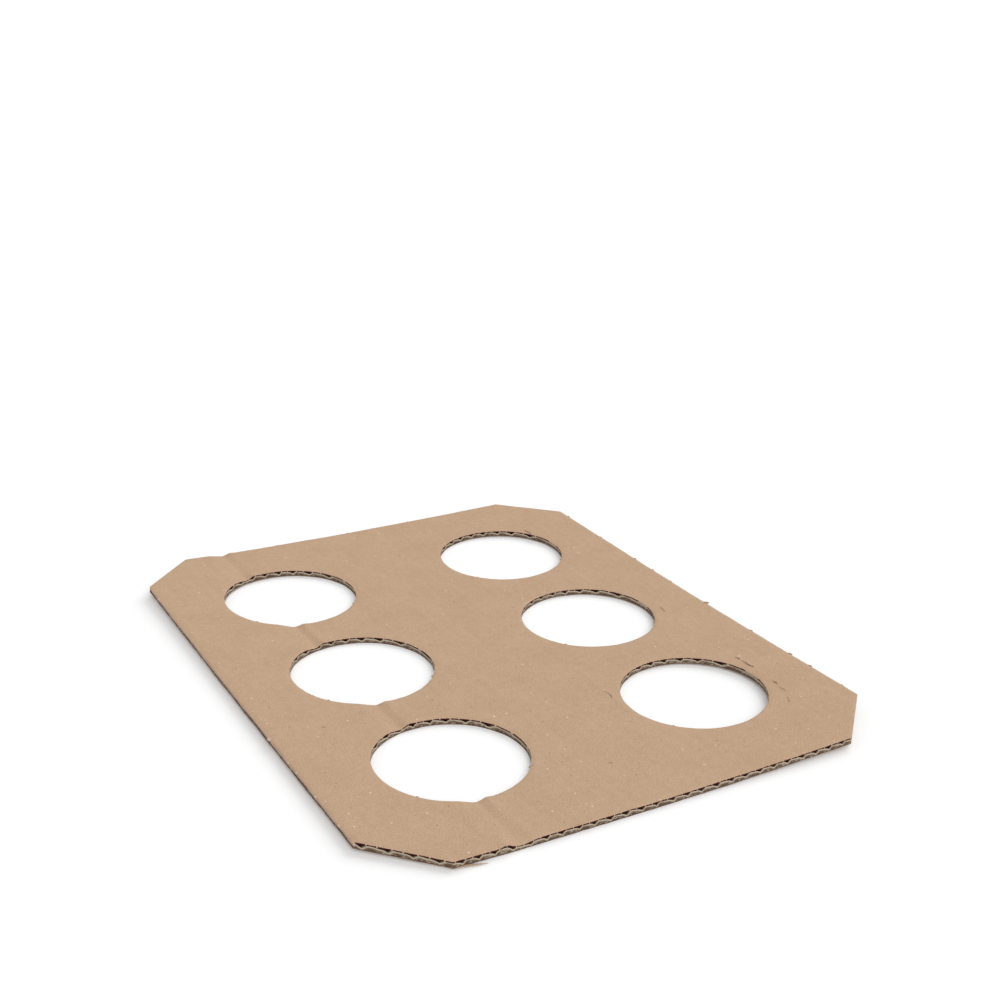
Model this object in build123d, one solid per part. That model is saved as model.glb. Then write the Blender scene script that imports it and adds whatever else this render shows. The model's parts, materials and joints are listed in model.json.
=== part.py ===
from build123d import *
import math
import os

# Carrier sheet for cups: one die-cut board of single-wall corrugated card.
# Millimetres, +Z up. The sheet lies flat, its lower face on z = 0, and the origin is
# under the middle of the sheet. The flutes run along Y.

# Sheet outline
SHEET_WIDTH = 220.0
SHEET_LENGTH = 280.0
CORNER_CUT = 25.0

# Cup holes
HOLE_DIAMETER = 59.5
COLUMN_SPACING = 110.0
ROW_SPACING = 80.0
COLUMNS = 2
ROWS = 3

# Board section: two liners with a fluted medium between them
BOARD_THICKNESS = 2.8
LINER_THICKNESS = 0.3
MEDIUM_THICKNESS = 0.25
FLUTE_PITCH = 6.5
FLANK_ANGLE = 52.0

# Score line pressed into the upper face along the flutes
SCORE_FROM_EDGE = 47.0
SCORE_WIDTH = 7.0
SCORE_DEPTH = 1.0

score_x = SCORE_FROM_EDGE - SHEET_WIDTH / 2


def flute_channel():
    """Hollow of one upper flute about x = 0: a trapezoid, wide under the upper liner."""
    flank = math.radians(FLANK_ANGLE)
    roof = BOARD_THICKNESS - LINER_THICKNESS
    floor = LINER_THICKNESS + MEDIUM_THICKNESS
    middle = BOARD_THICKNESS / 2
    half_middle = FLUTE_PITCH / 4 - MEDIUM_THICKNESS / (2 * math.sin(flank))
    half_roof = half_middle + (roof - middle) / math.tan(flank)
    half_floor = half_middle - (middle - floor) / math.tan(flank)
    return make_face(
        Polyline((-half_roof, roof), (-half_floor, floor), (half_floor, floor), (half_roof, roof), close=True)
    )


def score_dent():
    """Hollow pressed into the upper face at the score: a circular segment about x = 0."""
    half = SCORE_WIDTH / 2
    top = BOARD_THICKNESS
    arc = ThreePointArc((-half, top), (0, top - SCORE_DEPTH), (half, top))
    return make_face(arc + Line((half, top), (-half, top)))


def board_section():
    """Board cut across the flutes, in x and height, with one upper flute under the score."""
    board = Pos(0, BOARD_THICKNESS / 2) * Rectangle(SHEET_WIDTH, BOARD_THICKNESS)
    upper = flute_channel()
    lower = Pos(FLUTE_PITCH / 2, 0) * mirror(upper, Plane.XZ.offset(-BOARD_THICKNESS / 2))
    first = math.floor(-SCORE_FROM_EDGE / FLUTE_PITCH) - 1
    last = math.ceil((SHEET_WIDTH - SCORE_FROM_EDGE) / FLUTE_PITCH) + 1
    channels = []
    for flute in range(first, last + 1):
        place = Pos(score_x + flute * FLUTE_PITCH, 0)
        channels.append(place * upper)
        channels.append(place * lower)
    dent = Pos(score_x, 0) * score_dent()
    pressed_liner = Pos(0, -LINER_THICKNESS) * dent - dent
    return board - channels - dent + pressed_liner


def sheet_outline():
    """Plan of the sheet: a rectangle with its corners cut off and a grid of round holes."""
    plan = chamfer(Rectangle(SHEET_WIDTH, SHEET_LENGTH).vertices(), CORNER_CUT)
    plan -= GridLocations(COLUMN_SPACING, ROW_SPACING, COLUMNS, ROWS) * Circle(HOLE_DIAMETER / 2)
    return plan


def carrier_sheet():
    """Fluted board as long as the sheet, cut to the sheet's plan."""
    board = extrude(Plane.XZ * board_section(), SHEET_LENGTH / 2, both=True)
    blank = extrude(sheet_outline(), BOARD_THICKNESS)
    return board & blank


os.makedirs("parts", exist_ok=True)
export_step(carrier_sheet(), "parts/cup_carrier_sheet.step")
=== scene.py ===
"""Cup carrier sheet: two kraft liners, the fluted medium between them, the marks of die-cutting and use,
and a plain studio stage."""

import json
import math
from types import SimpleNamespace

import bpy
import numpy as np
from mathutils import Matrix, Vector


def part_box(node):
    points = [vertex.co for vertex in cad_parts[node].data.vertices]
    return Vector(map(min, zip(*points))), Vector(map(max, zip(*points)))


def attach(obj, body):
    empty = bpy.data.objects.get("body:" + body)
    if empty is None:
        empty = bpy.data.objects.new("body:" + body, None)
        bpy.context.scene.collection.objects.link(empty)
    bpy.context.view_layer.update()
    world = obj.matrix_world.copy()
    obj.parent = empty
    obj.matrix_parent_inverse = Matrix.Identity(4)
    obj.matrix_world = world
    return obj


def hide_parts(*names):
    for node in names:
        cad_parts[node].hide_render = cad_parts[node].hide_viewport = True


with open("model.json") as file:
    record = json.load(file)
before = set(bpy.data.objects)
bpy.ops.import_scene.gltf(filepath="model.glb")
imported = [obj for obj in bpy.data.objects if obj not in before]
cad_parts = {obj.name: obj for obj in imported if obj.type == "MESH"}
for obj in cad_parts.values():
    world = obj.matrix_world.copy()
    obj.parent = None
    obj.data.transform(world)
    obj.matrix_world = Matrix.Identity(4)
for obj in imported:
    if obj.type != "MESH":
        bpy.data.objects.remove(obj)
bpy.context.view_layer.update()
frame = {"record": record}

bl_info = {
    "name": "Cup carrier sheet",
    "version": (1, 0, 0),
    "blender": (4, 5, 0),
    "location": "3D View > Sidebar > Carrier",
    "description": "Builds a die-cut sheet of corrugated board with round cup holes",
    "category": "Add Mesh",
}

MM = 0.001
SHEET_NODE = "cup_carrier_sheet"
SHEET_LOW, SHEET_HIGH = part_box(SHEET_NODE)
HOLE_CENTRES = np.array(
    [np.mean(hole["box_m"], axis=0)[:2] / MM for hole in frame["record"]["physics"]["openings"]]
)
COLUMNS = np.unique(HOLE_CENTRES[:, 0].round(3))
ROWS = np.unique(HOLE_CENTRES[:, 1].round(3))


def linear(code):
    """Linear red, green and blue of an sRGB hex colour."""
    srgb = np.array([int(code[i:i + 2], 16) for i in (1, 3, 5)]) / 255
    return tuple(np.where(srgb <= 0.04045, srgb / 12.92, ((srgb + 0.055) / 1.055) ** 2.4).tolist())


# Values that a user would change

def length(name, description, millimetres):
    """A length property, written here in millimetres and kept in metres."""
    return bpy.props.FloatProperty(
        name=name, description=description, default=millimetres * MM, unit="LENGTH", precision=5
    )


def angle(name, description, degrees):
    """An angle property, written here in degrees and kept in radians."""
    return bpy.props.FloatProperty(
        name=name, description=description, default=math.radians(degrees), subtype="ANGLE"
    )


def number(name, description, value, lowest, highest):
    """A plain number between two limits."""
    return bpy.props.FloatProperty(
        name=name, description=description, default=value, min=lowest, max=highest
    )


def colour(name, description, code):
    """A colour property, written here as sRGB hex and kept as linear values."""
    return bpy.props.FloatVectorProperty(
        name=name, description=description, default=linear(code), subtype="COLOR", size=3, min=0, max=1
    )


class CarrierBoard(bpy.types.PropertyGroup):
    """Sizes of the corrugated sheet."""
    hole_diameter: length("Hole diameter", "Across each cup hole", 59.5)
    corner_cut: length("Corner cut", "Side of each corner that is cut off", 25.0)
    liner: length("Liner", "Thickness of each flat paper", 0.3)
    medium: length("Medium", "Thickness of the fluted paper", 0.25)
    flute_pitch: length("Flute pitch", "From crest to crest of the flutes", 6.5)
    flute_squareness: number("Flute squareness", "Low for a sine wave, high for flat crests", 1.1, 0.1, 10)
    flute_skew: number("Flute skew", "How far the knife bends the flutes over at a cut", 0.85, 0, 0.9)
    trough_rise: number("Trough rise", "Share of the flutes by which a cut lifts the troughs", 0.26, 0, 1)
    score_place: length("Score place", "X of the score line at the middle of the sheet", -63.0)
    score_lean: angle("Score lean", "Turn of the score line from the flutes", 1.5)
    score_left: length("Score, left side", "Width of the groove's gentle left flank", 6.5)
    score_right: length("Score, right side", "Width of the groove's steep right flank", 3.4)
    score_depth: length("Score depth", "Depth of the groove at the cut edges", 1.0)
    far_left_lift: length("Far left lift", "How far that corner curls off the floor", 1.56)
    far_right_lift: length("Far right lift", "How far that corner curls off the floor", 0.54)
    near_left_lift: length("Near left lift", "How far that corner curls off the floor", 0.07)
    near_right_lift: length("Near right lift", "How far that corner curls off the floor", 2.18)
    flap_lift: length("Flap lift", "How far the left side rises, bent up at the score", 1.32)
    right_lift: length("Right lift", "How far the right side curls off the floor", 0.74)
    edge_press: length("Edge press", "How far the knife presses the upper liner down at a cut", 0.22)
    raggedness: length("Raggedness", "How far a cut wanders from its line", 0.16)


class CarrierFinish(bpy.types.PropertyGroup):
    """Colours of the papers."""
    kraft_light: colour("Kraft, light", "Raised fibres of the liner", "#CDB096")
    kraft_dark: colour("Kraft, dark", "Hollows between the fibres of the liner", "#B08F70")
    # The dark of the upper liner's cut is partly bruise and partly painted shade of the channels under it
    upper_cut: colour("Upper cut", "Cut edge of the upper liner, bruised by the knife", "#42191C")
    # Pale fibres at the channel ends, and painted light on the side cuts
    bared_cut_and_painted_light: colour("Bared cut", "Cut edge of the upper liner beside channels and at the sides", "#CDB09D")
    lower_cut: colour("Lower cut", "Cut edge of the lower liner", "#6B4E40")
    fluting: colour("Fluting", "Faces of the papers that the flutes turn up", "#B3A68C")
    # Painted shade: the colour of the channels' ceilings and of the faces that the flutes turn down
    painted_shade: colour("Glued paper", "Faces that the flutes turn down, stained by glue", "#4A2A28")
    cut_fluting: colour("Cut fluting", "Frayed cut edge of the fluted paper", "#C2B49E")
    pressed_fluting: colour("Pressed fluting", "Fibres that the knife pressed down", "#7A6856")
    # Darker brown towards the floor, partly torn fibre and partly painted shade
    torn_fluting_and_shade: colour("Torn fluting", "Fibres torn out at the lower liner", "#5E4237")
    # Dark specks, and the inside of a slit, which is partly painted shade of its opening
    torn_kraft: colour("Torn kraft", "Inside of a slit in the liner", "#70503C")
    pale_fibre: colour("Pale fibre", "Bleached fibres in the liner", "#EBDDCB")


class CarrierStage(bpy.types.PropertyGroup):
    """Camera and light."""
    azimuth: angle("Azimuth", "Camera's turn about the sheet, from the front", -29.336)
    elevation: angle("Elevation", "Camera's tilt below the horizon", 20.816)
    roll: angle("Roll", "Camera's turn about its own axis", 0.95)
    distance: length("Distance", "Camera to the sheet's middle, along the camera's axis", 643.84)
    focal_pixels: number("Focal length", "In pixels of a picture 1000 wide", 1497.2, 100, 10000)
    middle_pixel: bpy.props.FloatVectorProperty(
        name="Middle pixel", description="Where the sheet's middle shows, from the top left of 1000 by 1000",
        default=(479.63, 641.82), size=2
    )
    ambient: number("Ambient", "Share of the light that comes from all round", 0.46, 0, 1)


# Form of the board, in millimetres

CURL_POWER = 1.2
WAVY_HEIGHT, WAVY_X, WAVY_Y = 0.05, 15.0, 21.0

# Reaches are distances over which something fades
RAGGED_REACH = 1.6
SCORE_CUT_REACH, NEAR_END_REACH = 6.0, 7.0
PRESS_REACH, TURNED_REACH = 0.7, 0.5
CRUSH_REACH, FRAY_REACH, SIDE_REACH = 1.2, 0.6, 1.0

# Score: share of its section that is rounded, its depth away from the cuts as a share, the extra width of
# its steep flank at the near cut, and the flutes puffed up beside it as place, reach and height
SCORE_ROUND, SCORE_SHALLOW, SCORE_WIDENING = 0.35, 0.55, 4.5
NEAR_PUFF = -5.2, 2.0, 0.72
CUT_PUFF = 0.8, 1.5, 0.22

# What the knife does at a cut: it turns the upper liner's edge down, moves the flutes aside, widens and
# lowers their crests, lays them against the upper liner at the sides, spreads the medium and fills under it
EDGE_TURN = 0.8
FLUTE_SHIFT, CREST_WIDENING, CREST_DROP, SIDE_LAY = 0.5, 0.55, 0.1, 0.95
MEDIUM_SPREAD, MEDIUM_RAGGED = 0.5, 1.6
FILL, FILL_WANDER, FILL_SINK = 0.92, 0.08, 0.02


def board_sizes():
    """The panel's values and the frame's sizes in one namespace, with every length in millimetres."""
    form = bpy.context.scene.carrier_board
    values = {}
    for name in CarrierBoard.__annotations__:
        is_length = form.bl_rna.properties[name].unit == "LENGTH"
        values[name] = getattr(form, name) / (MM if is_length else 1)
    return SimpleNamespace(
        half_width=(SHEET_HIGH[0] - SHEET_LOW[0]) / 2 / MM,
        half_length=(SHEET_HIGH[1] - SHEET_LOW[1]) / 2 / MM,
        thickness=(SHEET_HIGH[2] - SHEET_LOW[2]) / MM,
        radius=form.hole_diameter / 2 / MM,
        **values
    )


def bell(distance, reach):
    """Bell curve: 1 at distance 0, falling over the reach."""
    return np.exp(-(distance / reach) ** 2)


def hashed(cell, seed):
    """Repeatable random number from -1 to 1 for each whole number: what is left of a large sine."""
    value = np.sin(cell * 127.1 + seed * 311.7) * 43758.5453
    return 2 * (value - np.floor(value)) - 1


def wander(place, wavelength, seed):
    """Smooth random line from -1 to 1: random values at whole steps of the wavelength, eased by a cubic."""
    cells = place / wavelength
    before = np.floor(cells)
    ease = cells - before
    ease = ease * ease * (3 - 2 * ease)
    return hashed(before, seed) * (1 - ease) + hashed(before + 1, seed) * ease


def nearest_hole(x, y):
    """Offsets from the nearest hole's middle, and a number for that hole."""
    column = np.abs(x[..., None] - COLUMNS).argmin(-1)
    row = np.abs(y[..., None] - ROWS).argmin(-1)
    return x - COLUMNS[column], y - ROWS[row], column + len(COLUMNS) * row


def cut_distances(b, x, y):
    """Distances in from the side cuts, the end cuts, the corner cuts and the nearest hole's rim."""
    dx, dy, _ = nearest_hole(x, y)
    side = b.half_width - np.abs(x)
    end = b.half_length - np.abs(y)
    corner = (side + end - b.corner_cut) / math.sqrt(2)
    return side, end, corner, np.hypot(dx, dy) - b.radius


def cut_distance(b, x, y):
    """Distance in from the nearest cut."""
    return np.minimum.reduce(cut_distances(b, x, y))


def cut_nearness(b, x, y, reach):
    """1 at the nearest cut, falling as a bell curve of that reach away from it."""
    return bell(cut_distance(b, x, y), reach)


def ragged_cut(b, x, y, amount, seed):
    """Points moved across their nearest cut by a random line along it, fading into the sheet."""
    side, end, corner, hole = cut_distances(b, x, y)
    dx, dy, hole_number = nearest_hole(x, y)

    def push(distance, along, line):
        slow = wander(along, 8.0, seed + line)
        quick = wander(along, 2.3, seed + line + 0.5)
        return amount * (0.6 * slow + 0.55 * quick) * bell(distance, RAGGED_REACH)

    radius = np.maximum(np.hypot(dx, dy), 1.0)
    into_hole = push(hole, np.arctan2(dy, dx) * b.radius, 7 + hole_number)
    over_side = push(side, y, 1 + np.sign(x))
    over_end = push(end, x, 4 + np.sign(y))
    over_corner = push(corner, x - y, 2 + np.sign(x) + 3 * np.sign(y)) / math.sqrt(2)
    moved_x = x - into_hole * dx / radius + np.sign(x) * (over_side + over_corner)
    moved_y = y - into_hole * dy / radius + np.sign(y) * (over_end + over_corner)
    return moved_x, moved_y


def curl(b, x, y):
    """Lift of the whole board off the floor: each corner rises with a power of its nearness, the right side
    with the square of its own, and the flap left of the score in a straight line."""
    left, right = np.maximum(-x / b.half_width, 0), np.maximum(x / b.half_width, 0)
    near, far = np.maximum(-y / b.half_length, 0), np.maximum(y / b.half_length, 0)
    corners = (
        b.near_left_lift * (left * near) ** CURL_POWER + b.near_right_lift * (right * near) ** CURL_POWER
        + b.far_left_lift * (left * far) ** CURL_POWER + b.far_right_lift * (right * far) ** CURL_POWER
    )
    flap = b.flap_lift * np.maximum((b.score_place - x) / (b.half_width + b.score_place), 0)
    return corners + flap + b.right_lift * right ** 2


def caliper(b, x, y):
    """Local thickness of the board: its full thickness, less the score, a crease with a gentle left flank
    and a steep right one that is deepest at the cuts, less the knife's press, plus puffed flutes beside the
    score and a slight waviness."""
    across = x - b.score_place + math.tan(b.score_lean) * y
    near_end = bell(y + b.half_length, NEAR_END_REACH)
    at_cut = cut_nearness(b, x, y, SCORE_CUT_REACH)
    steep = b.score_right + SCORE_WIDENING * near_end
    flank = np.where(across < 0, -across / b.score_left, across / steep)
    rounded = np.cos(np.minimum(flank, 1) * math.pi / 2) ** 2
    crease = SCORE_ROUND * rounded + (1 - SCORE_ROUND) * np.maximum(1 - flank, 0)
    depth = b.score_depth * (SCORE_SHALLOW + (1 - SCORE_SHALLOW) * at_cut)
    place, reach, height = NEAR_PUFF
    puff = height * bell(across - place, reach) * near_end
    place, reach, height = CUT_PUFF
    puff = puff + height * bell(across - b.score_right - place, reach) * at_cut * (1 - near_end)
    wavy = WAVY_HEIGHT * np.sin(x / WAVY_X + 1.3) * np.sin(y / WAVY_Y + 0.4)
    press = b.edge_press * cut_nearness(b, x, y, PRESS_REACH)
    return b.thickness - crease * depth - press + puff + wavy


def board_top(b, x, y):
    """Height of the upper face: the board's local thickness above the curl."""
    return curl(b, x, y) + caliper(b, x, y)


def flute_wave(b, x, y):
    """Height share of the medium's middle, 0 at the lower liner and 1 at the upper: a squared-off sine with
    a trough under the score. At the cuts the knife leaves each flute steep on its left and gentle on its
    right, with wide, lowered crests and raised troughs, and at the side cuts it lays the paper against the
    upper liner."""
    crushed = cut_nearness(b, x, y, CRUSH_REACH)
    shift = FLUTE_SHIFT * wander(x + 0.15 * y, b.flute_pitch * 0.9, 31) * crushed
    phase = 2 * math.pi * (x + shift - b.score_place) / b.flute_pitch - math.pi / 2
    phase = phase + b.flute_skew * crushed * np.sin(phase)
    square = b.flute_squareness
    wave = 0.5 + 0.5 * np.tanh(square * np.sin(phase)) / math.tanh(square)
    wave = wave ** (1 - CREST_WIDENING * crushed)
    wave = 1 - (1 - wave) * (1 - b.trough_rise * crushed) - CREST_DROP * crushed
    return 1 - (1 - wave) * (1 - SIDE_LAY * bell(b.half_width - np.abs(x), SIDE_REACH))


# Meshes of whole layers

def even_and_close(count):
    """Shares from 0 to 1, half even and half crowding to both ends like a cosine."""
    even = np.linspace(0, 1, count)
    return 0.5 * even + 0.25 * (1 - np.cos(math.pi * even))


def sheet_strips(b, lines, shares):
    """Grid over the sheet in strips between the rows of holes. Each grid line keeps its x, and its y is
    shared out between the strip's ends: the sheet's end or, over a hole, the circle's half chord."""
    column = COLUMNS[np.abs(lines[:, None] - COLUMNS).argmin(1)]
    chord = np.sqrt(np.maximum(b.radius ** 2 - (lines - column) ** 2, 0))
    end = b.half_length - np.maximum(np.abs(lines) - b.half_width + b.corner_cut, 0)
    low = np.vstack([-end, ROWS[:, None] + chord])
    high = np.vstack([ROWS[:, None] - chord, end])
    y = low[..., None] + (high - low)[..., None] * shares
    x = np.broadcast_to(lines[None, :, None], y.shape)
    return x, y, chord > 1e-6


def layer_mesh(name, upper, lower, over_hole, inside):
    """Closed mesh of one paper from its upper and lower grids of strips, with material slots for its upper
    face, its lower face and its cut walls. Walls stand only at real cuts: the sheet's ends and sides, and
    the grid lines that cross a hole. The attribute below_mm is the depth under the upper grid, and inside_mm
    the distance in from the nearest cut."""
    points = np.concatenate([upper.reshape(-1, 3), lower.reshape(-1, 3)])
    below = np.zeros(len(points))
    below[upper.size // 3:] = np.linalg.norm(upper - lower, axis=-1).ravel()
    top = np.arange(upper.size // 3).reshape(upper.shape[:3])
    base = top + top.size
    cut = np.ones((upper.shape[0] + 1, upper.shape[1] - 1), bool)
    cut[1:-1] = over_hole[:-1] | over_hole[1:]
    near, far = cut[:-1], cut[1:]

    def quads(a, b, c, d):
        return np.stack([a, b, c, d], -1).reshape(-1, 4)

    faces = [
        quads(top[:, :-1, :-1], top[:, 1:, :-1], top[:, 1:, 1:], top[:, :-1, 1:]),
        quads(base[:, :-1, 1:], base[:, 1:, 1:], base[:, 1:, :-1], base[:, :-1, :-1]),
        quads(base[:, :-1, 0][near], base[:, 1:, 0][near], top[:, 1:, 0][near], top[:, :-1, 0][near]),
        quads(base[:, 1:, -1][far], base[:, :-1, -1][far], top[:, :-1, -1][far], top[:, 1:, -1][far]),
        quads(base[:, 0, 1:], base[:, 0, :-1], top[:, 0, :-1], top[:, 0, 1:]),
        quads(base[:, -1, :-1], base[:, -1, 1:], top[:, -1, 1:], top[:, -1, :-1]),
    ]
    slots = np.repeat([0, 1, 2, 2, 2, 2], [len(group) for group in faces])
    values = {"below_mm": below, "inside_mm": np.tile(inside.ravel(), 2)}
    return mesh_object(name, points * MM, np.concatenate(faces), slots, values)


def mesh_object(name, points, faces, slots=None, values=None):
    """Object of welded points in metres and quads: equal points become one, and quads that lose a corner
    become triangles. Values are attributes of the points by name."""
    _, first, where = np.unique(points.round(8), axis=0, return_index=True, return_inverse=True)
    faces = where.reshape(-1)[faces]
    repeated = faces == np.roll(faces, -1, axis=1)
    kept = repeated.sum(1) < 2
    faces, repeated = faces[kept], repeated[kept]
    counts = 4 - repeated.sum(1)
    corners = faces[~repeated]
    mesh = bpy.data.meshes.new(name)
    mesh.vertices.add(len(first))
    mesh.vertices.foreach_set("co", points[first].ravel())
    mesh.loops.add(len(corners))
    mesh.loops.foreach_set("vertex_index", corners)
    mesh.polygons.add(len(faces))
    mesh.polygons.foreach_set("loop_start", np.cumsum(counts) - counts)
    if slots is not None:
        mesh.polygons.foreach_set("material_index", slots[kept])
    mesh.update(calc_edges=True)
    if mesh.validate():
        raise RuntimeError(f"{name} has faulty faces")
    for label, value in (values or {}).items():
        mesh.attributes.new(label, "FLOAT", "POINT").data.foreach_set("value", value[first])
    mesh.shade_smooth()
    mesh.set_sharp_from_angle(angle=math.radians(35))
    made = bpy.data.objects.new(name, mesh)
    bpy.context.scene.collection.objects.link(made)
    return made


def dress(piece, *materials):
    """Materials in slot order, and the piece's place in the frame."""
    for material in materials:
        piece.data.materials.append(material)
    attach(piece, "root")
    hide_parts(SHEET_NODE)


def liner_lines(b):
    """X of the liner's grid lines: even arc steps over each column of holes, closer lines at the sides, and
    fine ones over the score."""
    arc = b.radius * np.sin(np.linspace(-math.pi / 2, math.pi / 2, 57))
    margin = even_and_close(19) * (b.half_width + COLUMNS[0] - b.radius)
    centre = np.linspace(COLUMNS[0] + b.radius, COLUMNS[-1] - b.radius, 29)
    sides = b.half_width - np.array([0.2, 0.45, b.corner_cut])
    score = b.score_place + np.linspace(-10, 10, 51)
    lines = [margin - b.half_width, b.half_width - margin, centre, score, -sides, sides]
    return np.unique(np.concatenate(lines + [column + arc for column in COLUMNS]).round(6))


def liner_grid(b, seed):
    """Base grid of a liner with its ragged cuts, and which lines cross a hole."""
    x, y, over_hole = sheet_strips(b, liner_lines(b), even_and_close(42))
    cut_x, cut_y = ragged_cut(b, x, y, b.raggedness, seed)
    return x, y, cut_x, cut_y, over_hole


def upper_liner(b):
    """Upper paper: from the board's top down by one liner's thickness, more where the knife turns its edge
    down."""
    x, y, cut_x, cut_y, over_hole = liner_grid(b, seed=3)
    height = board_top(b, x, y)
    turned = b.liner * (1 + EDGE_TURN * cut_nearness(b, x, y, TURNED_REACH))
    upper = np.stack([cut_x, cut_y, height], -1)
    lower = np.stack([cut_x, cut_y, height - turned], -1)
    return layer_mesh("upper_liner", upper, lower, over_hole, cut_distance(b, x, y))


def lower_liner(b):
    """Lower paper: it follows the curl, one liner's thickness high."""
    x, y, cut_x, cut_y, over_hole = liner_grid(b, seed=11)
    height = curl(b, x, y)
    upper = np.stack([cut_x, cut_y, height + b.liner], -1)
    lower = np.stack([cut_x, cut_y, height], -1)
    return layer_mesh("lower_liner", upper, lower, over_hole, cut_distance(b, x, y))


def fluted_medium(b):
    """Fluted paper: the wave between the liners, thickened by half its paper along the wave's normal. At the
    cuts the knife spreads the paper and presses fibres down to the lower liner."""
    steps = int(round(2 * b.half_width / b.flute_pitch * 14))
    corners = b.half_width - b.corner_cut
    tangents = np.concatenate([COLUMNS - b.radius, COLUMNS + b.radius, [-corners, corners]])
    even = np.linspace(-b.half_width, b.half_width, steps + 1)
    lines = np.unique(np.concatenate([even, tangents]).round(4))
    ends = np.array([0, 0.012, 0.03, 0.06])
    x, y, over_hole = sheet_strips(b, lines, np.concatenate([ends, np.linspace(0.1, 0.9, 7), 1 - ends[::-1]]))
    room = caliper(b, x, y) - 2 * b.liner - b.medium
    floor = curl(b, x, y) + b.liner
    middle = floor + b.medium / 2 + room * flute_wave(b, x, y)
    slope = np.gradient(middle, lines, axis=1)
    joined = ~over_hole
    slope[:-1, joined, -1] = slope[1:, joined, 0] = (slope[:-1, joined, -1] + slope[1:, joined, 0]) / 2
    turn = np.sqrt(1 + slope ** 2)
    at_cut = cut_nearness(b, x, y, FRAY_REACH)
    half = b.medium / 2 * (1 + MEDIUM_SPREAD * at_cut)
    fill = at_cut * (FILL + FILL_WANDER * wander(x + 1.3 * y, 5.1, 41))
    cut_x, cut_y = ragged_cut(b, x, y, MEDIUM_RAGGED * b.raggedness, seed=23)
    upper = np.stack([cut_x - half * slope / turn, cut_y, middle + half / turn], -1)
    pressed = (1 - fill) * (middle - half / turn) + fill * (floor - FILL_SINK)
    lower = np.stack([cut_x + half * slope / turn * (1 - fill), cut_y, pressed], -1)
    return layer_mesh("fluted_medium", upper, lower, over_hole, cut_distance(b, x, y))


# Marks of the die and of use, in millimetres

# Slits as darkness and path, and hairs as tone and path, dark above 0 and pale below
# A slit's dark middle is partly painted shade of its opening
SLITS = (
    (0.9, ((80.3, 101.5), (80.7, 96.5), (81.0, 92.6))),
    (0.6, ((89.1, -6.9), (88.1, -12.4))),
    (1.0, ((87.9, -64.0), (88.3, -65.4), (88.3, -67.2))),
    (1.0, ((88.2, -68.0), (88.4, -71.5), (88.8, -75.7))),
    (0.85, ((88.5, -88.3), (88.2, -90.1), (87.8, -92.5))),
    (0.3, ((87.3, -94.2), (87.1, -98.6))),
    (0.35, ((84.8, -102.3), (82.5, -106.7))),
)
HAIRS = (
    (1.0, ((23.1, -61.7), (23.7, -63.7), (23.6, -66.6), (23.1, -69.3))),
    (-0.4, ((86.1, -47.0), (87.6, -54.6), (88.5, -62.7))),
)
PALE_FLECKS = ((5.9, -26.9), (-25.9, -60.2), (-20.5, -60.2))
DARK_FLECKS = ((-4.5, -110.6), (-88.4, -38.7))

# Section of a strip across its path: place, share of the lip's height and darkness
STRIP_TOP = np.array(
    [(-1.0, 0.0, 0.0), (-0.7, 1.0, 0.25), (-0.3, 0.25, 1.0), (0.3, 0.1, 1.0), (0.7, 0.5, 0.35), (1.0, 0.0, 0.0)]
)
STRIP_GAP, STRIP_SINK = 0.03, 0.12

# Stubs as place along the cut and size
RIGHT_NUBS = (
    (107.0, 1.0), (75.9, 0.8), (44.8, 0.9), (29.6, 0.9), (14.8, 0.8),
    (-12.8, 2.4), (-46.3, 1.0), (-72.8, 1.3), (-85.7, 1.2), (-105.5, 0.8),
)
LEFT_NUBS = ((100.4, 0.9), (-38.2, 1.2), (-57.3, 0.7), (-65.2, 0.7), (-83.2, 0.8), (-103.8, 0.8))
FAR_NUBS = ((-38.4, 0.7), (-0.5, 0.8), (33.0, 0.7))
RIM_NUB_ANGLES = (-141.0, -39.0)
RIM_NUB_SIZE = 0.75
WIDEST_NUB = 1.2

# Peeled strip: where it starts, how far it runs along the cut and away from it, and its half width
TONGUE_START, TONGUE_RUN, TONGUE_AWAY, TONGUE_WIDTH = -83.8, 11.2, 2.8, 0.8


def grid_faces(shape):
    """Quads over stacked grids of points, each grid on its own."""
    index = np.arange(np.prod(shape)).reshape(shape)
    corners = index[:, :-1, :-1], index[:, 1:, :-1], index[:, 1:, 1:], index[:, :-1, 1:]
    return np.stack(corners, -1).reshape(-1, 4)


def ribbon(b, path, half_width, lip, seed):
    """Closed strip on the upper face along a path: its half width follows a root of a sine and wanders, its
    two lips stand up, its middle stays low and its underside lies in the paper. The last value is 1 in the
    middle and 0 at the strip's sides."""
    path = np.array(path, float)
    legs = np.concatenate([[0], np.cumsum(np.hypot(*np.diff(path, axis=0).T))])
    share = np.linspace(0, 1, 25)
    along = share * legs[-1]
    x, y = (np.interp(along, legs, line) for line in path.T)
    x = x + 0.22 * wander(along, 1.3, seed)
    swell = np.sqrt(np.abs(np.sin(math.pi * share)))[:, None]
    width = half_width * swell * (1 + 0.6 * wander(along, 0.9, seed + 1))[:, None]
    heading = np.arctan2(np.gradient(y), np.gradient(x))[:, None]
    underside = (0.0, -STRIP_SINK / lip, 0.0)
    across, rise, torn = np.vstack([STRIP_TOP, underside, STRIP_TOP[0]]).T
    side_x = x[:, None] - np.sin(heading) * across * width
    side_y = y[:, None] + np.cos(heading) * across * width
    height = board_top(b, side_x, side_y) + STRIP_GAP + lip * rise * swell
    return np.stack([side_x, side_y, height, np.broadcast_to(torn, side_x.shape)], -1)


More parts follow.
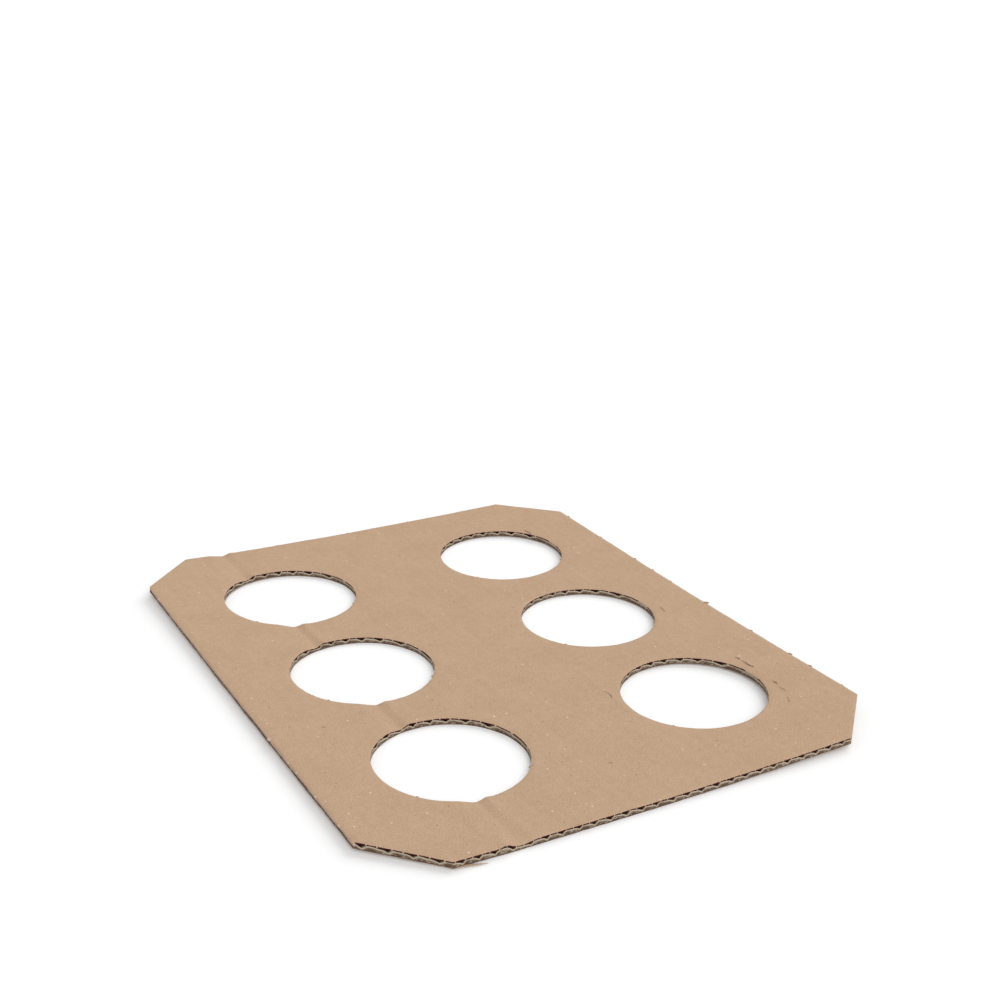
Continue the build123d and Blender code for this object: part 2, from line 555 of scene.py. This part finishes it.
def surface_marks(b):
    """Slits torn in the upper liner along the flutes, and single pale and dark flecks in its paper."""
    strips = []
    for marks, half_width, lip, seed in ((SLITS, 0.62, 0.16, 50), (HAIRS, 0.3, 0.05, 90)):
        for place, (tone, path) in enumerate(marks):
            strips.append(ribbon(b, path, half_width, lip, seed + place) * (1, 1, 1, tone))
    for flecks, tone, half_width in ((PALE_FLECKS, -1.0, 0.55), (DARK_FLECKS, 1.0, 0.4)):
        for x, y in flecks:
            strip = ribbon(b, ((x - 0.6, y + 0.3), (x + 0.6, y - 0.3)), half_width, 0.02, x)
            strip[..., 3] = tone * np.minimum(1, 1.4 * strip[..., 3])
            strips.append(strip)
    strips = np.stack(strips)
    return mesh_object(
        "surface_marks", strips[..., :3].reshape(-1, 3) * MM, grid_faces(strips.shape[:3]),
        values={"torn": strips[..., 3].ravel()}
    )


def cut_nubs(b):
    """Stubs of fibre left where the waste was broken out: flat egg shapes on the cuts, longer outward than
    inward and made uneven by random lines. Those on the left are pale, as painted light, the others brown."""
    places = [(b.half_width, y, 0.0, size, 0.42) for y, size in RIGHT_NUBS]
    # The stubs on the left are pale: painted light on that side
    places += [(-b.half_width, y, math.pi, size, -0.3) for y, size in LEFT_NUBS]
    places += [(x, b.half_length, math.pi / 2, size, 0.4) for x, size in FAR_NUBS]
    for turn in np.radians(RIM_NUB_ANGLES):
        rim = HOLE_CENTRES + b.radius * np.array([math.cos(turn), math.sin(turn)])
        places += [(x, y, turn + math.pi, RIM_NUB_SIZE, 0.45) for x, y in rim]
    x, y, turn, size, torn = np.array(places).T[..., None, None]
    order = np.arange(len(places))[:, None, None]
    around = np.linspace(0, 2 * math.pi, 13)[None, :, None]
    rise = np.linspace(-math.pi / 2, math.pi / 2, 9)[None, None, :]
    uneven = 1 + 0.3 * wander(around * 1.5 + order * 17, 1.0, 73) * np.sin(rise) * np.cos(rise)
    out = size * np.where(rise < 0, 0.3, 0.85) * np.sin(rise) * uneven
    side = np.minimum(size, WIDEST_NUB) * np.cos(rise) * np.cos(around) * uneven
    height = board_top(b, x, y) - 0.22 + 0.38 * np.sqrt(size) * np.cos(rise) * np.sin(around)
    spot_x = x + out * np.cos(turn) - side * np.sin(turn)
    spot_y = y + out * np.sin(turn) + side * np.cos(turn)
    points = np.stack(np.broadcast_arrays(spot_x, spot_y, height), -1)
    points[:, -1] = points[:, 0]
    torn = np.broadcast_to(torn, points.shape[:3]).ravel()
    return mesh_object(
        "cut_nubs", points.reshape(-1, 3) * MM, grid_faces(points.shape[:3]), values={"torn": torn}
    )


def peeled_tongue(b):
    """Strip of the lower liner that peeled off at the near left corner: an oval in section that tapers to
    both ends, leaves the cut slowly and sinks from the lifted liner to the floor."""
    along = np.linspace(0, 1, 41)[None, :, None]
    around = np.linspace(0, 2 * math.pi, 13)[None, None, :]
    taper = (1 - along) ** 0.7 * np.minimum(along / 0.06, 1) ** 0.5
    x = TONGUE_START + TONGUE_RUN * along
    line = -b.half_length + 0.5 - TONGUE_AWAY * along ** 1.3 + 0.15 * wander(along * 12, 2.0, 91)
    y = line + TONGUE_WIDTH * taper * np.cos(around)
    sink = (curl(b, x, line) + 0.15) * (1 - along) ** 0.8 + 0.25 * along
    z = sink - 0.15 * np.sqrt(taper) * np.sin(around)
    points = np.stack(np.broadcast_arrays(x, y, z), -1).copy()
    points[:, :, -1] = points[:, :, 0]
    return mesh_object("peeled_tongue", points.reshape(-1, 3) * MM, grid_faces(points.shape[:3]))


# Materials

def add(tree, kind, inputs=None, **settings):
    """Adds a node with its settings, and sets or links its inputs by name or number."""
    node = tree.nodes.new(kind)
    for name, value in settings.items():
        setattr(node, name, value)
    for name, value in (inputs or {}).items():
        socket = node.inputs[name]
        if isinstance(value, bpy.types.NodeSocket):
            tree.links.new(value, socket)
        else:
            socket.default_value = value
    return node


def calculate(tree, operation, *values, **settings):
    """Socket of a sum, product or other operation on numbers and sockets."""
    return add(tree, "ShaderNodeMath", dict(enumerate(values)), operation=operation, **settings).outputs[0]


def fade(tree, value, start, stop, first=0.0, last=1.0):
    """Socket that runs from the first number to the last while the value runs from start to stop."""
    return add(tree, "ShaderNodeMapRange", {"Value": value, 1: start, 2: stop, 3: first, 4: last}).outputs[0]


def blended(tree, share, first, second):
    """Socket of two colours mixed by a share."""
    tones = [tone if isinstance(tone, bpy.types.NodeSocket) else (*tone, 1) for tone in (first, second)]
    return add(tree, "ShaderNodeMix", {0: share, 6: tones[0], 7: tones[1]}, data_type="RGBA").outputs[2]


def noise(tree, place, millimetres, detail, dimensions="3D"):
    """Socket of a noise whose features have that size. On the sheet's faces it has two dimensions, so that
    the grain is the same at every height."""
    inputs = {"Vector": place, "Scale": 1 / (millimetres * MM), "Detail": detail}
    return add(tree, "ShaderNodeTexNoise", inputs, noise_dimensions=dimensions).outputs[0]


def attribute(tree, name):
    """Socket of a mesh attribute."""
    return add(tree, "ShaderNodeAttribute", attribute_name=name).outputs["Fac"]


def new_material(name):
    """Empty node material with its output and object coordinates."""
    material = bpy.data.materials.new(name)
    material.use_nodes = True
    tree = material.node_tree
    tree.nodes.clear()
    output = add(tree, "ShaderNodeOutputMaterial")
    place = add(tree, "ShaderNodeTexCoord").outputs["Object"]
    return material, tree, output, place


def matt_paper(tree, output, tone, height, relief):
    """Rough paper of that colour, with a bump of that relief in millimetres."""
    bump = add(tree, "ShaderNodeBump", {"Height": height, "Strength": 0.8, "Distance": relief * MM})
    paper = add(
        tree, "ShaderNodeBsdfPrincipled",
        {"Base Color": tone, "Roughness": 0.9, "Specular IOR Level": 0.15, "Normal": bump.outputs[0]}
    )
    tree.links.new(paper.outputs[0], output.inputs["Surface"])


def across_sheet(tree, place):
    """Socket of x, across the flutes."""
    return add(tree, "ShaderNodeSeparateXYZ", {0: place}).outputs["X"]


def flute_stripes(tree, place, b):
    """Socket of a cosine across the flutes, 1 over each trough of the medium."""
    from_score = calculate(tree, "SUBTRACT", across_sheet(tree, place), b.score_place * MM)
    phase = calculate(tree, "MULTIPLY", from_score, 2 * math.pi / (b.flute_pitch * MM))
    return calculate(tree, "COSINE", phase)


def side_cuts(tree, place, b):
    """Socket that is 1 on the two side cuts, along the flutes, and 0 elsewhere."""
    aside = calculate(tree, "ABSOLUTE", across_sheet(tree, place))
    return calculate(tree, "GREATER_THAN", aside, (b.half_width - 0.6) * MM)


def kraft_tone(tree, place, b, finish):
    """Sockets of the liner's colour and height: soft clouds, mottle, fine fibres and faint flute stripes."""
    fibres = noise(tree, place, 0.55, 3.0, "2D")
    stripes = flute_stripes(tree, place, b)
    tone = calculate(tree, "MULTIPLY_ADD", noise(tree, place, 16, 2.0, "2D"), 0.25, -0.55)
    tone = calculate(tree, "MULTIPLY_ADD", noise(tree, place, 3.0, 3.0, "2D"), 0.33, tone)
    tone = calculate(tree, "MULTIPLY_ADD", fibres, 1.52, tone)
    tone = calculate(tree, "MULTIPLY_ADD", stripes, -0.015, tone, use_clamp=True)
    height = calculate(tree, "MULTIPLY_ADD", stripes, -0.35, fibres)
    return blended(tree, tone, finish.kraft_dark, finish.kraft_light), height


def kraft_liner():
    """Kraft linerboard, calendered: matt brown, mottled by its fibres, with pale and dark specks, and faint
    stripes where the flutes show through."""
    finish, b = bpy.context.scene.carrier_finish, board_sizes()
    material, tree, output, place = new_material("kraft_linerboard_calendered")
    brown, height = kraft_tone(tree, place, b, finish)
    for spacing, radius, tint in ((13.0, 0.55, finish.pale_fibre), (10.0, 0.42, finish.torn_kraft)):
        scattered = {"Vector": place, "Scale": 1 / (spacing * MM)}
        specks = add(tree, "ShaderNodeTexVoronoi", scattered, voronoi_dimensions="2D")
        spot = fade(tree, specks.outputs["Distance"], 0.3 * radius / spacing, radius / spacing, 1.0, 0.0)
        chance = add(tree, "ShaderNodeSeparateColor", {0: specks.outputs["Color"]}).outputs[0]
        share = calculate(tree, "MULTIPLY", spot, fade(tree, chance, 0.45, 1.0, 0.0, 0.75))
        brown = blended(tree, share, brown, tint)
    matt_paper(tree, output, brown, height, 0.035)
    return material


def marked_kraft():
    """Kraft linerboard, torn: the liner's brown, turning dark inside a slit, partly as painted shade of its
    opening, pale on a bleached fleck, and pale as painted light on the stubs of the left cut, by the attribute
    torn."""
    finish, b = bpy.context.scene.carrier_finish, board_sizes()
    material, tree, output, place = new_material("kraft_linerboard_torn")
    brown, height = kraft_tone(tree, place, b, finish)
    torn = attribute(tree, "torn")
    pale = calculate(tree, "MULTIPLY", torn, -0.85, use_clamp=True)
    dark = calculate(tree, "MULTIPLY", torn, 0.85, use_clamp=True)
    tone = blended(tree, pale, brown, finish.pale_fibre)
    matt_paper(tree, output, blended(tree, dark, tone, finish.torn_kraft), height, 0.05)
    return material


def upper_cut():
    """Kraft linerboard bruised and cut by a steel rule: a dark line under the upper face, partly bruise and
    partly painted shade of the channels under it, broken at both ends of each open channel, and pale along the
    side cuts as painted light."""
    finish, b = bpy.context.scene.carrier_finish, board_sizes()
    material, tree, output, place = new_material("kraft_linerboard_cut_bruised_and_shaded")
    fibres = noise(tree, place, 0.9, 3.0)
    stripes = calculate(tree, "MULTIPLY_ADD", fibres, 0.3, flute_stripes(tree, place, b))
    channel_ends = calculate(tree, "COMPARE", stripes, -0.05, 0.15)
    # Pale at the channel ends, and painted light along the side cuts
    share = calculate(tree, "MAXIMUM", channel_ends, side_cuts(tree, place, b))
    matt_paper(tree, output, blended(tree, share, finish.upper_cut, finish.bared_cut_and_painted_light), fibres, 0.06)
    return material


def fibre_paper(name, middle, grain):
    """Paper whose fibres vary about a middle colour, with features of that grain in millimetres."""
    material, tree, output, place = new_material(name)
    fibres = noise(tree, place, grain, 3.0)
    light, dark = ([min(1, factor * value) for value in middle] for factor in (1.3, 0.7))
    matt_paper(tree, output, blended(tree, fade(tree, fibres, 0.32, 0.68), dark, light), fibres, 0.06)
    return material


def lower_cut():
    """Kraft linerboard cut by a steel rule: a fuzzy brown line on the floor."""
    return fibre_paper("kraft_linerboard_die_cut", bpy.context.scene.carrier_finish.lower_cut, 0.7)


def painted_shade_paper():
    """Kraft linerboard in painted shade: the dark ceilings of the open channels and the faces that the flutes
    turn down.
    """
    return fibre_paper("kraft_linerboard_painted_shade", bpy.context.scene.carrier_finish.painted_shade, 0.9)


def fluting_paper():
    """Recycled fluting paper, rolled: dull olive where the cut opens it, and turning to painted shade with the
    distance in, by the attribute inside_mm."""
    finish = bpy.context.scene.carrier_finish
    material, tree, output, place = new_material("recycled_fluting_rolled")
    fibres = noise(tree, place, 0.8, 3.0)
    depth = calculate(tree, "MULTIPLY_ADD", fibres, 1.2, attribute(tree, "inside_mm"))
    # Painted shade: the paper darkens with the distance into the channels
    tone = blended(tree, fade(tree, depth, 0.6, 1.4), finish.fluting, finish.painted_shade)
    matt_paper(tree, output, tone, fibres, 0.1)
    return material


def cut_fluting():
    """Recycled fluting paper cut by a steel rule: a pale frayed line along the wave, and below it pressed
    fibres that run from olive to a darker brown towards the floor, partly torn fibre and partly painted shade,
    by the attribute below_mm, with a pale band of painted light along the side cuts."""
    finish, b = bpy.context.scene.carrier_finish, board_sizes()
    material, tree, output, place = new_material("recycled_fluting_die_cut")
    flat = add(tree, "ShaderNodeMapping", {"Vector": place, "Scale": (1.0, 1.0, 2.2)}).outputs[0]
    fibres = noise(tree, flat, 1.3, 4.0)
    below = attribute(tree, "below_mm")
    depth = calculate(tree, "MULTIPLY_ADD", fibres, 1.6, below)
    # Browner towards the floor: partly torn fibre, partly painted shade
    pressed = blended(tree, fade(tree, depth, 1.35, 2.2), finish.pressed_fluting, finish.torn_fluting_and_shade)
    line = fade(tree, below, 0.35, 0.65, 1.0, 0.0)
    tufts = fade(tree, fibres, 0.52, 0.66, 0.0, 0.75)
    tone = blended(tree, calculate(tree, "MAXIMUM", line, tufts), pressed, finish.cut_fluting)
    # Painted light: a pale band along the side cuts
    band = fade(tree, depth, 1.5, 2.1, 0.9, 0.0)
    pale = calculate(tree, "MULTIPLY", side_cuts(tree, place, b), band)
    matt_paper(tree, output, blended(tree, pale, tone, finish.bared_cut_and_painted_light), fibres, 0.2)
    return material


def shared_material(make):
    """The material that the function makes. It is made once, and the scene keeps its name under the
    function's name."""
    kept = bpy.context.scene.get("carrier_materials", {})
    name = kept.get(make.__name__)
    if name is None or name not in bpy.data.materials:
        name = make().name
        bpy.context.scene["carrier_materials"] = {**kept, make.__name__: name}
    return bpy.data.materials[name]


# Stage

# Lamps as name, direction towards the lamp and share of the lamps' light
LAMPS = (
    ("right_lamp", (0.75, 0.3, 0.65), 0.52),
    ("front_lamp", (-0.15, -0.73, 0.65), 0.48),
)
LAMP_WIDTH = math.radians(50)
FLOOR_HALF, FLOOR_DROP = 8.0, 0.1 * MM
FLOOR_WHITE, FLOOR_GLOW = 0.9, 0.13


def seen_directly(tree):
    """1 for camera, glossy and transmission rays, 0 for the rays that carry light."""
    rays = add(tree, "ShaderNodeLightPath").outputs
    seen = calculate(tree, "MAXIMUM", rays["Is Camera Ray"], rays["Is Glossy Ray"])
    return calculate(tree, "MAXIMUM", seen, rays["Is Transmission Ray"])


def lay_floor():
    """White painted floor: it keeps the sheet's shadow, and a little of its own light when seen brings the
    open floor to white."""
    corners = ((-1, -1), (1, -1), (1, 1), (-1, 1))
    points = np.array([(FLOOR_HALF * x, FLOOR_HALF * y, -FLOOR_DROP) for x, y in corners])
    floor = mesh_object("floor", points, np.array([[0, 1, 2, 3]]))
    material, tree, output, _ = new_material("white_floor_painted")
    white = (FLOOR_WHITE, FLOOR_WHITE, FLOOR_WHITE, 1)
    paint = add(
        tree, "ShaderNodeBsdfPrincipled", {"Base Color": white, "Roughness": 1.0, "Specular IOR Level": 0.0}
    )
    faint = calculate(tree, "MULTIPLY", seen_directly(tree), FLOOR_GLOW)
    glow = add(tree, "ShaderNodeEmission", {"Strength": faint})
    both = add(tree, "ShaderNodeAddShader", {0: paint.outputs[0], 1: glow.outputs[0]})
    tree.links.new(both.outputs[0], output.inputs["Surface"])
    floor.data.materials.append(material)


def light_stage(scene):
    """White surroundings and two wide far lamps, on the right and in front, which together bring white
    to 1."""
    ambient = scene.carrier_stage.ambient
    scene.world = bpy.data.worlds.new("studio")
    scene.world.use_nodes = True
    tree = scene.world.node_tree
    tree.nodes.clear()
    strength = fade(tree, seen_directly(tree), 0.0, 1.0, ambient, 1.0)
    sky = add(tree, "ShaderNodeBackground", {"Color": (1, 1, 1, 1), "Strength": strength})
    output = add(tree, "ShaderNodeOutputWorld")
    tree.links.new(sky.outputs[0], output.inputs["Surface"])
    for name, towards, share in LAMPS:
        towards = np.array(towards) / np.linalg.norm(towards)
        lamp = bpy.data.lights.new(name, "SUN")
        lamp.angle = LAMP_WIDTH
        lamp.energy = math.pi * (1 - ambient) * share / towards[2]
        holder = bpy.data.objects.new(name, lamp)
        holder.matrix_world = aimed(2 * towards, -towards, 0.0)
        scene.collection.objects.link(holder)
    scene.view_settings.view_transform = "Standard"


def aimed(place, forward, roll):
    """Matrix of a camera or lamp at a place, looking along forward, turned about that line by roll."""
    right = np.cross(forward, (0, 0, 1))
    right /= np.linalg.norm(right)
    up = np.cross(right, forward)
    turned = math.cos(roll) * right + math.sin(roll) * up
    up = math.cos(roll) * up - math.sin(roll) * right
    columns = np.column_stack([turned, up, -forward, place])
    return Matrix(np.vstack([columns, (0, 0, 0, 1)]).tolist())


def place_camera(scene):
    """Camera at the photograph's angle: the middle of the sheet's upper face shows at the middle pixel."""
    stage = scene.carrier_stage
    level = math.cos(stage.elevation)
    forward = np.array([
        -math.sin(stage.azimuth) * level, math.cos(stage.azimuth) * level, -math.sin(stage.elevation)
    ])
    axes = np.array(aimed(np.zeros(3), forward, stage.roll))
    aside, down = (np.array(stage.middle_pixel) - 500) / stage.focal_pixels
    ray = forward + aside * axes[:3, 0] - down * axes[:3, 1]
    data = bpy.data.cameras.new("camera")
    data.sensor_width = 36.0
    data.lens = data.sensor_width * stage.focal_pixels / 1000
    data.clip_start, data.clip_end = 0.01, 100.0
    camera = bpy.data.objects.new("camera", data)
    middle = np.array([0, 0, SHEET_HIGH[2]])
    camera.matrix_world = aimed(middle - ray * stage.distance, forward, stage.roll)
    scene.collection.objects.link(camera)
    scene.camera = camera


# Operators and panel

class CARRIER_OT_liners(bpy.types.Operator):
    """Builds the two kraft papers with their score, curl and holes"""
    bl_idname = "carrier.liners"
    bl_label = "Liners"

    def execute(self, context):
        b = board_sizes()
        face, painted_shade, upper_edge, inner_face, lower_edge = (
            shared_material(make) for make in (kraft_liner, painted_shade_paper, upper_cut, fluting_paper, lower_cut)
        )
        # The upper liner's lower face, the ceiling of the channels, is painted shade
        dress(upper_liner(b), face, painted_shade, upper_edge)
        dress(lower_liner(b), inner_face, face, lower_edge)
        return {"FINISHED"}


class CARRIER_OT_fluted_medium(bpy.types.Operator):
    """Builds the fluted paper between the liners"""
    bl_idname = "carrier.fluted_medium"
    bl_label = "Fluted medium"

    def execute(self, context):
        # The medium's lower face is painted shade
        papers = (shared_material(make) for make in (fluting_paper, painted_shade_paper, cut_fluting))
        dress(fluted_medium(board_sizes()), *papers)
        return {"FINISHED"}


class CARRIER_OT_marks(bpy.types.Operator):
    """Adds the torn slits, flecks, stubs and the peeled strip"""
    bl_idname = "carrier.marks"
    bl_label = "Marks"

    def execute(self, context):
        b = board_sizes()
        dress(surface_marks(b), shared_material(marked_kraft))
        dress(cut_nubs(b), shared_material(marked_kraft))
        dress(peeled_tongue(b), shared_material(kraft_liner))
        return {"FINISHED"}


class CARRIER_OT_stage(bpy.types.Operator):
    """Lays the white floor and sets the light and the camera"""
    bl_idname = "carrier.stage"
    bl_label = "Stage"

    def execute(self, context):
        lay_floor()
        light_stage(context.scene)
        place_camera(context.scene)
        return {"FINISHED"}


class CARRIER_PT_panel(bpy.types.Panel):
    """Sizes, colours and steps of the carrier sheet"""
    bl_label = "Cup carrier sheet"
    bl_idname = "CARRIER_PT_panel"
    bl_space_type = "VIEW_3D"
    bl_region_type = "UI"
    bl_category = "Carrier"

    def draw(self, context):
        for name, group in GROUPS.items():
            box = self.layout.box()
            for setting in group.__annotations__:
                box.prop(getattr(context.scene, name), setting)
        for step in STEPS:
            self.layout.operator(step.bl_idname)


STEPS = (CARRIER_OT_liners, CARRIER_OT_fluted_medium, CARRIER_OT_marks, CARRIER_OT_stage)
GROUPS = {"carrier_board": CarrierBoard, "carrier_finish": CarrierFinish, "carrier_stage": CarrierStage}
CLASSES = (*GROUPS.values(), *STEPS, CARRIER_PT_panel)


def register():
    for cls in CLASSES:
        bpy.utils.register_class(cls)
    for name, group in GROUPS.items():
        setattr(bpy.types.Scene, name, bpy.props.PointerProperty(type=group))


def unregister():
    for name in GROUPS:
        delattr(bpy.types.Scene, name)
    for cls in reversed(CLASSES):
        bpy.utils.unregister_class(cls)


def main():
    """Registers the classes, and builds the sheet and its stage."""
    register()
    bpy.ops.carrier.liners()
    bpy.ops.carrier.fluted_medium()
    bpy.ops.carrier.marks()
    bpy.ops.carrier.stage()


if __name__ == "__main__":
    main()
